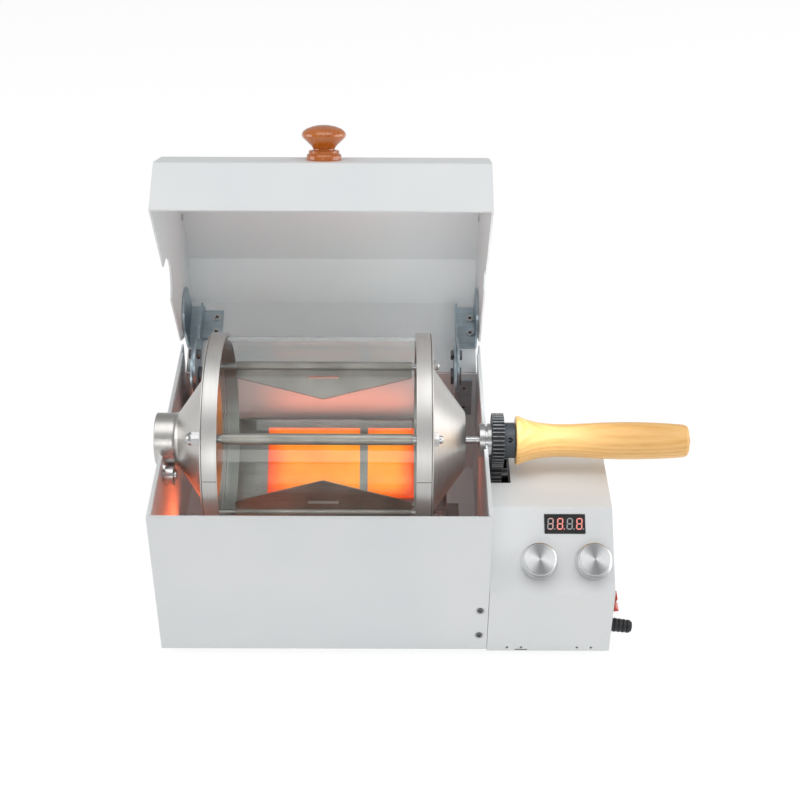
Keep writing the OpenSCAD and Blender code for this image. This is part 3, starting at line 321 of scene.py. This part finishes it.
def moulded(name, base, rough, grain=900.0, strength=0.12, edge=0.35, **more):
    """Moulded plastic or rubber with a fine grain and edges rubbed a little paler."""
    look = Look(name, base, rough, **more)
    fine = look.noise(look.place, grain, 2.0)
    broad = look.noise(look.place, grain * 0.06, 3.0)
    soft = look.soft_edge(0.0003)
    rubbed = look.math("MULTIPLY", look.edges(soft, 0.02, 0.25), edge)
    dark, light = tuple(c * 0.8 for c in base), tuple(min(1, c * 1.25) for c in base)
    body = look.blend(broad, dark, light)
    look.shade("Base Color", look.blend(rubbed, body, tuple(min(1, c * 2.2 + 0.03) for c in base)))
    look.shade("Roughness", look.between(broad, rough - 0.07, rough + 0.08, 0.3, 0.7))
    look.shade("Normal", look.bump(fine, strength, 0.00008, soft))
    return look


black = moulded("black_plastic", BLACK_PLASTIC, 0.42)
hub_black = moulded("hub_plastic", (0.045, 0.055, 0.066), 0.36)
rubber = moulded("black_rubber", (0.018, 0.018, 0.018), 0.78, 1500.0, 0.3)
red = moulded("red_plastic", (0.62, 0.045, 0.02), 0.25, edge=0.2, Coat_Weight=0.4, Coat_Roughness=0.1)
ceramic = moulded("ceramic", (0.74, 0.71, 0.66), 0.5, 600.0, 0.2)
board = moulded("green_board", (0.015, 0.12, 0.045), 0.4)
window = moulded(
    "display_window", (0.012, 0.011, 0.012), 0.16,
    strength=0.03, edge=0.1, Coat_Weight=0.8, Coat_Roughness=0.06,
)


def toothed(name, centre, tip_r):
    """A moulded gear, paler grey along the tips of its teeth: rubbed wear together with a painted highlight
    on the tooth tips.
    """
    look = moulded(name, BLACK_PLASTIC, 0.4)
    radius = look.about(centre, X_AXIS)[1]
    rubbed = look.between(radius, 0.0, 1.0, (tip_r - 0.9) * MM, (tip_r - 0.2) * MM)
    body = look.shader.inputs["Base Color"].links[0].from_socket
    streak = look.noise(look.stretch((900.0, 120.0, 120.0)), 1.0, 2.0)
    # Tooth tips paler grey: rubbed wear together with a painted highlight
    tip_wear_and_highlight = look.math("MULTIPLY", rubbed, look.between(streak, 0.45, 0.95, 0.3, 0.7))
    look.shade("Base Color", look.blend(tip_wear_and_highlight, body, (0.20, 0.205, 0.21)))
    return look


drum_gear_black = toothed("drum_gear_plastic", AXIS_POINT, DRUM_GEAR_R)
idler_gear_black = toothed("idler_gear_plastic", case(0, DRUM_Y, IDLER_Z), IDLER_GEAR_R)

# The drum's glass: clear, a faint green in its thickness, light scuffs
glass = Look("clear_glass", (0.96, 0.985, 0.975), 0.02, IOR=1.3, Transmission_Weight=1.0)
scuff = glass.noise(glass.stretch((30.0, 260.0, 260.0)), 1.0, 4.0, 0.65)
ripple = glass.noise(glass.place, 28.0, 2.0)
glass.shade("Roughness", glass.between(scuff, 0.0, 0.05, 0.45, 0.8))
glass.shade("Normal", glass.bump(ripple, 0.04, 0.0004))
clear = glass.add("ShaderNodeBsdfTransparent")
glass.set(clear, "Color", (0.93, 0.955, 0.945, 1))
swap = glass.add("ShaderNodeMixShader")
glass.set(swap, 0, glass.add("ShaderNodeLightPath").outputs["Is Shadow Ray"])
glass.set(swap, 1, glass.shader.outputs[0])
glass.set(swap, 2, clear.outputs[0])
glass.set(glass.output, "Surface", swap.outputs[0])


def wood(name, axis_scale, dark, light, rough, coat_weight, figure=0.2):
    """Lacquered wood with its grain along one axis."""
    look = Look(name, light[0][1], rough, Coat_Weight=coat_weight, Coat_Roughness=0.08)
    along = look.stretch(axis_scale)
    bend = look.noise(look.stretch(tuple(s * 0.3 for s in axis_scale)), 1.0, 2.0)
    wave = look.add("ShaderNodeTexWave", wave_type="RINGS", rings_direction="X")
    look.set(wave, "Vector", along)
    look.set(wave, "Scale", 0.52)
    look.set(wave, "Distortion", 5.0)
    look.set(wave, "Detail", 3.0)
    look.set(wave, "Detail Scale", 0.9)
    fibre = look.noise(look.stretch(tuple(s * 5.0 for s in axis_scale)), 1.0, 4.0, 0.6)
    tone = look.math("MULTIPLY_ADD", wave.outputs["Fac"], figure, look.math("MULTIPLY", bend, 0.7 - figure))
    tone = look.math("MULTIPLY_ADD", fibre, 0.35, tone)
    look.shade("Base Color", look.ramp(look.between(tone, 0.0, 1.0, 0.3, 0.95), dark + light))
    look.shade("Roughness", look.between(fibre, rough - 0.05, rough + 0.1, 0.3, 0.7))
    look.shade("Normal", look.bump(fibre, 0.25, 0.00006))
    return look


pale = wood(
    "pale_wood", (16.0, 190.0, 190.0),
    [(0.0, (0.70, 0.33, 0.08)), (0.22, (0.90, 0.50, 0.16))],
    [(0.55, (0.97, 0.59, 0.22)), (1.0, (1.0, 0.68, 0.31))], 0.36, 0.25,
)
knob_wood = wood(
    "red_brown_wood", (150.0, 55.0, 55.0),
    [(0.0, (0.34, 0.068, 0.006)), (0.3, (0.52, 0.13, 0.010))],
    [(0.65, (0.60, 0.165, 0.014)), (1.0, (0.66, 0.20, 0.020))], 0.26, 1.0, figure=0.05,
)


def glow(name, dim, hot, strength):
    """A glowing heat plaque: a ceramic face with rows of fine holes, hotter in its middle."""
    look = Look(name, (0.22, 0.06, 0.02), 0.7)
    across = look.add("ShaderNodeTexCoord").outputs["Generated"]
    parts = look.add("ShaderNodeSeparateXYZ")
    look.set(parts, 0, across)
    middle = 1.0
    for i, power in ((0, 6.0), (1, 4.0)):
        off = look.math("ABSOLUTE", look.math("MULTIPLY_ADD", parts.outputs[i], 2.0, -1.0))
        inner = look.math("SUBTRACT", 1.0, look.math("POWER", off, power))
        middle = look.math("MULTIPLY", middle, inner)
    drift = look.noise(look.place, 30.0, 2.0)
    heat = look.math("MULTIPLY_ADD", look.between(drift, -0.25, 0.25, 0.3, 0.7), 1.0, middle)
    cells = look.add("ShaderNodeTexVoronoi")
    look.set(cells, "Vector", look.place)
    look.set(cells, "Scale", 380.0)
    look.set(cells, "Randomness", 0.15)
    hole = look.between(cells.outputs["Distance"], 0.72, 1.0, 0.1, 0.3)
    look.shade("Emission Color", look.ramp(heat, [(0.0, dim), (0.45, hot[0]), (1.0, hot[1])]))
    look.shade("Emission Strength", look.math("MULTIPLY", hole, strength))
    look.shade("Normal", look.bump(cells.outputs["Distance"], 0.4, 0.0004))
    return look


heater = glow("heater_glow", (0.8, 0.05, 0.002), ((1.0, 0.16, 0.004), (1.0, 0.36, 0.014)), 1.1)


def lamp_red(name, colour, strength, base):
    """A display segment under its tinted window, with the dots of its light inside."""
    look = Look(name, base, 0.3, Coat_Weight=0.6, Coat_Roughness=0.08)
    spots = look.noise(look.place, 1500.0, 1.0)
    look.shade("Base Color", look.blend(spots, tuple(c * 0.8 for c in base), base))
    look.shade("Emission Color", (*colour, 1))
    look.shade("Emission Strength", look.between(spots, strength * 0.75, strength * 1.2, 0.3, 0.7))
    return look


lit = lamp_red("segment_lit", (1.0, 0.2, 0.16), 0.7, (0.62, 0.30, 0.28))
faint = lamp_red("segment_faint", (1.0, 0.35, 0.30), 0.25, (0.55, 0.42, 0.41))
# The unlit bars glow faintly grey as well: painted light on bars that are not lit
unlit = lamp_red("segment_unlit", (0.6, 0.6, 0.62), 0.06, (0.40, 0.41, 0.42))
# A dark matte look: painted shade for the screws' cross recesses and the front slot; it also draws the
# rings' dark joint lines
shadow = moulded("dark_recess", (0.012, 0.012, 0.013), 0.6, edge=0.0)

paint(
    coat, "chamber_shell", "left_wall", "right_wall", "control_shell", "control_end", "control_base",
    "lid_panel", "lid_left_side", "lid_right_side",
)
paint(left_steel, "left_cap")
paint(right_steel, "right_cap")
paint(ring_steel, "left_ring", "right_ring")
paint(glass, "glass_tube")
paint(
    bright, "rod_nuts", "tie_rods", "drum_shaft", "roller_pins", "shaft_bearing",
    "front_roller", "rear_roller", "front_roller_ring", "rear_roller_ring", "motor_shaft",
    "potentiometer_nuts", "lid_rivets", "lid_knob_screw", "left_knob_shaft", "right_knob_shaft",
)
paint(vane_metal, "mixing_vanes")
paint(zinc, "hinge_bases", "hinge_arms")
paint(
    dark_metal, "hinge_guide_bolts", "hinge_pins", "case_screws", "handle_bolt", "gear_motor",
    "potentiometers", "motor_bracket", "idler_post",
)
paint(tray_metal, "heater_tray", "heater_brackets", "heater_strap")
paint(heater, "heater_panel")
paint(knob_left_metal, "left_knob")
paint(knob_right_metal, "right_knob")
paint(pale, "handle")
paint(knob_wood, "lid_knob")
paint(drum_gear_black, "drum_gear")
paint(idler_gear_black, "idler_gear")
paint(black, "pinion", "switch_body", "cable_gland")
paint(hub_black, "handle_hub")
paint(window, "display_module")
paint(red, "switch_rocker")
paint(rubber, "feet")
paint(ceramic, "heater_terminals", "terminal_block")
paint(board, "control_board")

for node in nodes.values():
    node.data.shade_smooth()
    node.data.set_sharp_from_angle(angle=math.radians(24))

# ---- pieces in mesh code ----

# How far the fine pieces reach below and above the face that they lie on, in millimetres
RECESS_DEPTH, SEAM_DEPTH, SLOT_DEPTH = (-0.25, 0.04), (-0.15, 0.05), (-0.1, 0.06)


def added(name, data):
    """A new object in the scene."""
    obj = bpy.data.objects.new(name, data)
    bpy.context.scene.collection.objects.link(obj)
    return obj


def meshed(name, bm):
    """Turns a bmesh into an object in the scene."""
    mesh = bpy.data.meshes.new(name)
    bm.to_mesh(mesh)
    bm.free()
    return added(name, mesh)


def piece(name, bm, look, body):
    """Makes a piece of a bmesh, and lets it ride on its body."""
    bmesh.ops.recalc_face_normals(bm, faces=bm.faces)
    obj = meshed(name, bm)
    obj.data.shade_smooth()
    obj.data.set_sharp_from_angle(angle=math.radians(30))
    obj.data.materials.append(look.mat)
    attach(obj, body)


def close_between(bm, first, last):
    """Walls between two rims with as many corners each, and a face over both."""
    count = len(first)
    for i in range(count):
        j = (i + 1) % count
        bm.faces.new((first[i], first[j], last[j], last[i]))
    bm.faces.new(first[::-1])
    bm.faces.new(last)


def prism(bm, outline, low, high, place):
    """Draws an outline out from low to high, through place(x, y, z), all in millimetres."""
    first, last = ([bm.verts.new(place(x, y, z)) for x, y in outline] for z in (low, high))
    close_between(bm, first, last)


def rounded(x0, y0, x1, y1, r):
    """A rectangle with round corners, anticlockwise."""
    left, right, low, high = x0 + r, x1 - r, y0 + r, y1 - r
    corners = ((right, low, -90), (right, high, 0), (left, high, 90), (left, low, 180))
    steps, points = 4, []
    for cx, cy, start in corners:
        for k in range(steps + 1):
            a = math.radians(start + 90 * k / steps)
            points.append((cx + r * math.cos(a), cy + r * math.sin(a)))
    return points


def circle(cx, cy, r, count):
    """A circle's corners, anticlockwise."""
    angles = [math.tau * k / count for k in range(count)]
    return [(cx + r * math.cos(a), cy + r * math.sin(a)) for a in angles]


def frame_at(centre, axis):
    """Gives place(x, y, z) in millimetres: z along axis from centre, y as near upright as it can be."""
    axis = Vector(axis).normalized()
    side = Vector((0, 0, 1)).cross(axis).normalized()
    top = axis.cross(side)
    return lambda x, y, z: centre + (side * x + top * y + axis * z) * MM


def cross_recess(bm, place, arm, turn):
    """The cross of a screw head: a four-armed dark prism, just proud of the head, painted shade where the
    recess lies.
    """
    half = arm * 0.27
    corners = [
        (half, -arm), (half, -half), (arm, -half), (arm, half), (half, half), (half, arm),
        (-half, arm), (-half, half), (-arm, half), (-arm, -half), (-half, -half), (-half, -arm),
    ]
    c, s = math.cos(turn), math.sin(turn)
    prism(bm, [(x * c - y * s, x * s + y * c) for x, y in corners], *RECESS_DEPTH, place)


def hem(bm, start, end, inward):
    """A hem along a wall's top from start to end, (x, y) on the wall's inner face, inward of it."""
    a, b, into = Vector((*start, 0)), Vector((*end, 0)), Vector((*inward, 0))
    section = [(0.0, -4.6), (1.1, -4.6), (1.5, -4.2), (1.5, -0.7), (1.25, -0.2), (0.8, 0.0), (0.0, 0.0)]
    rims = []
    for point in (a, b):
        rims.append([
            bm.verts.new(case(*(point + into * d).to_2d(), CHAMBER_H + h)) for d, h in section
        ])
    close_between(bm, *rims)


# The front wall's hem, and the side walls' hems before and behind the notches for neck and shaft
HEM_FRONT_Y, HEM_REAR_Y = SHEET + 1.6, 211
NECK_GAP, SHAFT_GAP = 26, 16
RIGHT_INSIDE = CHAMBER_W - SHEET
bm = bmesh.new()
hem(bm, (SHEET, SHEET), (RIGHT_INSIDE, SHEET), (0, 1))
for x, way, gap in ((SHEET, 1, NECK_GAP), (RIGHT_INSIDE, -1, SHAFT_GAP)):
    hem(bm, (x, HEM_FRONT_Y), (x, DRUM_Y - gap), (way, 0))
    hem(bm, (x, DRUM_Y + gap), (x, HEM_REAR_Y), (way, 0))
piece("wall_top_hems", bm, coat, "base")

# Screws: their cross recesses. Each FACE is the plane of the heads' outer ends.
FRONT_FACE, FRONT_X, FRONT_ZS = -0.1, 243.8, (41.6, 16)
HINGE_FACE, HINGE_SCREW_X, HINGE_ZS = 226.4, 8, (70, 90)
END_FACE, END_SCREWS = END_X + 1.3, ((70, 91.5), (135, 49.75), (70, 12))
ARM_FACE, ARM_SCREW_X, ARM_ZS = PIVOT_Y + 3.6, 13, (PIVOT_Z + 45, PIVOT_Z + 59.5)
bm = bmesh.new()
for z in FRONT_ZS:
    cross_recess(bm, frame_at(case(FRONT_X, FRONT_FACE, z), (0, -1, 0)), 1.5, 0.4)
for x in HINGE_XS:
    for z in HINGE_ZS:
        cross_recess(bm, frame_at(case(x + HINGE_SCREW_X, HINGE_FACE, z), (0, 1, 0)), 1.9, 0.2)
for y, z in END_SCREWS:
    cross_recess(bm, frame_at(case(END_FACE, y, z), (1, 0, 0)), 1.8, 0.6)
piece("case_screw_recesses", bm, shadow, "base")

bm = bmesh.new()
lid_axis = on_lid(0, 0, 0) - on_lid(0, 1, 0)
for x in HINGE_XS:
    for z in ARM_ZS:
        cross_recess(bm, frame_at(on_lid(x + ARM_SCREW_X, ARM_FACE, z), lid_axis), 1.9, 0.5)
piece("lid_screw_recesses", bm, shadow, "lid")

# The joint of each ring's band, a fine line across its rim
RING_R, SEAM_ANGLE, SEAM_HALF, SEAM_IN = 82.5, math.radians(164.5), 0.22, 0.3


def on_rim(x, y, z):
    """A point beside the seam: x along the drum, y round the rim, z out of it."""
    return on_drum(x, SEAM_ANGLE + y / RING_R, RING_R + z)


bm = bmesh.new()
for ring in ("left_ring", "right_ring"):
    x0, x1 = ((end.x - CASE.x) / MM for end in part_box(ring))
    x0, x1 = x0 + SEAM_IN, x1 - SEAM_IN
    outline = [(x0, -SEAM_HALF), (x1, -SEAM_HALF), (x1, SEAM_HALF), (x0, SEAM_HALF)]
    prism(bm, outline, *SEAM_DEPTH, on_rim)
piece("ring_seams", bm, shadow, "drum")

# A slot between the two marks at the left of the control box's lower edge, drawn as a dark prism: painted
# shade for the slot's opening
SLOT = rounded(271.8, 0.9, 281.4, 1.7, 0.35)
bm = bmesh.new()
prism(bm, SLOT, *SLOT_DEPTH, frame_at(case(0, 0, 0), (0, -1, 0)))
piece("front_relief_slot", bm, shadow, "base")

# The display: four digits of seven bars, and their points
DISPLAY_X, DISPLAY_Y, FACE_Z = 308.0, 53.5, 0.4
BAR_DEPTH = (FACE_Z - 0.2, FACE_Z + 0.03)
DIGIT_W, DIGIT_H, BAR, BAR_GAP, SLANT = 4.7, 9.0, 0.92, 0.14, 0.07
SEGMENTS = {
    "a": (0, 1, 1, 1), "d": (0, -1, 1, -1), "g": (0, 0, 1, 0),
    "f": (0, 0, 0, 1), "b": (1, 0, 1, 1), "e": (0, -1, 0, 0), "c": (1, -1, 1, 0),
}


def segment(bm, digit_x, ends):
    """One bar of a digit: a long hexagon between two of its corners."""
    x0, y0, x1, y1 = ends
    a = Vector(((x0 - 0.5) * (DIGIT_W - BAR), y0 * (DIGIT_H - BAR) / 2))
    b = Vector(((x1 - 0.5) * (DIGIT_W - BAR), y1 * (DIGIT_H - BAR) / 2))
    run = (b - a).normalized()
    side = Vector((-run.y, run.x)) * BAR / 2
    a, b = a + run * BAR_GAP, b - run * BAR_GAP
    near, far = a + run * BAR / 2, b - run * BAR / 2
    points = [a, near - side, far - side, b, far + side, near + side]
    outline = [(DISPLAY_X + digit_x + p.x + p.y * SLANT, DISPLAY_Y + p.y) for p in points]
    prism(bm, outline, *BAR_DEPTH, on_panel)


# Each digit: its place across, and its lit, faint and unlit bars
DIGITS = (
    (-10.9, "", "abcdg", "ef"), (-3.6, "abcdefg", "", ""),
    (3.7, "", "", "abcdefg"), (11.0, "abcdefg", "", ""),
)
POINT_X, POINT_Y, POINT_R = 3.1, -4.0, 0.5
LIT_POINTS, UNLIT_POINTS = (-3.6,), (-10.9, 3.7, 11.0)
for column, name, look, points in (
    (1, "digits_lit", lit, LIT_POINTS),
    (2, "digits_faint", faint, ()),
    (3, "digits_unlit", unlit, UNLIT_POINTS),
):
    bm = bmesh.new()
    for digit in DIGITS:
        for letter in digit[column]:
            segment(bm, digit[0], SEGMENTS[letter])
    for digit_x in points:
        dot = circle(DISPLAY_X + digit_x + POINT_X, DISPLAY_Y + POINT_Y, POINT_R, 16)
        prism(bm, dot, *BAR_DEPTH, on_panel)
    piece(name, bm, look, "base")

# ---- camera, light and floor ----

# The camera is solved from the photo: its focal length in picture widths, its angles and its place
FOCAL, SENSOR = 1499.48 / 800, 36.0
DOWN_ANGLE, TURN, ROLL = (math.radians(a) for a in (35.945, 0.2776, -0.3759))
CAMERA_PLACE = case(178.23, -822.46, 834.52)
cam_data = bpy.data.cameras.new("camera")
cam_data.sensor_width = SENSOR
cam_data.lens = FOCAL * SENSOR
cam_data.clip_start, cam_data.clip_end = 0.05, 20
camera = added("camera", cam_data)
level = Vector((math.cos(TURN), -math.sin(TURN), 0))
flat = math.cos(DOWN_ANGLE)
forward = Vector((math.sin(TURN) * flat, math.cos(TURN) * flat, -math.sin(DOWN_ANGLE)))
below = forward.cross(level)
right = level * math.cos(ROLL) + below * math.sin(ROLL)
down = below * math.cos(ROLL) - level * math.sin(ROLL)
axes = Matrix((right, -down, -forward)).transposed()
camera.matrix_world = Matrix.Translation(CAMERA_PLACE) @ axes.to_4x4()
bpy.context.scene.camera = camera

FLOOR_R = 6.0
bm = bmesh.new()
bm.faces.new([bm.verts.new((x, y, 0)) for x, y in circle(0, 0, FLOOR_R, 64)])
floor = meshed("floor", bm)
floor_look = Look("floor_paper", (0.9, 0.9, 0.9), 0.85)
floor_look.shade("Emission Color", (1, 1, 1, 1))
floor_look.shade("Emission Strength", 0.14)
# The camera sees it mostly as plain white paper
paper = floor_look.add("ShaderNodeEmission")
floor_look.set(paper, "Strength", 1.08)
backdrop = floor_look.add("ShaderNodeMixShader")
seen = floor_look.add("ShaderNodeLightPath").outputs["Is Camera Ray"]
floor_look.set(backdrop, 0, floor_look.math("MULTIPLY", seen, 0.75))
floor_look.set(backdrop, 1, floor_look.shader.outputs[0])
floor_look.set(backdrop, 2, paper.outputs[0])
floor_look.set(floor_look.output, "Surface", backdrop.outputs[0])
floor.data.materials.append(floor_look.mat)


def softbox(name, place, target, size, power, colour=(1, 1, 1)):
    """An area light at place that looks at target."""
    data = bpy.data.lights.new(name, "AREA")
    data.shape = "RECTANGLE"
    data.size, data.size_y = size
    data.energy = power
    data.color = colour
    obj = added(name, data)
    obj.location = place
    obj.rotation_mode = "QUATERNION"
    obj.rotation_quaternion = (Vector(target) - Vector(place)).to_track_quat("-Z", "Y")
    return obj


softbox("top_light", (0.0, -0.1, 1.7), (0, 0, 0.1), (1.6, 1.2), 9.8)
softbox("front_light", (-0.2, -1.9, 0.8), (0, 0, 0.2), (0.8, 0.45), 4.2)
softbox("right_light", (1.5, 0.05, 0.5), (0.1, 0, 0.12), (1.5, 1.1), 12.5)
softbox("left_light", (-1.6, -0.1, 0.6), (0, 0, 0.12), (1.0, 0.9), 6.5)

# The heater's light on what stands round it
HEATER_RED, HEATER_ORANGE = (1.0, 0.16, 0.05), (1.0, 0.26, 0.06)
HEATER_DOWN, HEATER_R, HEATER_X = math.radians(50), 86.5, 135


def glow_light(name, place, target, size, power, colour):
    """A light that camera, mirrors and glass don't show: only what it falls on is brighter."""
    light = softbox(name, place, target, size, power, colour)
    light.visible_camera = light.visible_glossy = light.visible_transmission = False


heater_face, drum_middle = on_drum(HEATER_X, -HEATER_DOWN, HEATER_R), on_drum(HEATER_X, 0, 0)
glow_light("heater_light", heater_face, drum_middle, (0.118, 0.056), 0.05, HEATER_ORANGE)
glow_light("rear_glow", case(HEATER_X, 203, 72), case(HEATER_X, 222, 100), (0.12, 0.012), 0.02, HEATER_RED)
glow_light("left_glow", case(40, 95, 35), case(2, 60, 80), (0.02, 0.04), 0.09, HEATER_RED)
glow_light("right_glow", case(212, 150, 60), case(248, 110, 90), (0.02, 0.05), 0.014, HEATER_RED)

# A soft fill, aimed at the rear wall and the inside of the lid
glow_light("lid_fill", (0, -0.08, 0.19), (0, 0.1, 0.19), (0.24, 0.05), 0.2, (0.96, 0.98, 1.0))

world = bpy.data.worlds.new("studio")
world.use_nodes = True
bpy.context.scene.world = world
background = world.node_tree.nodes["Background"]
background.inputs["Color"].default_value = (1, 1, 1, 1)
background.inputs["Strength"].default_value = 0.36

bpy.context.scene.view_settings.view_transform = "Standard"
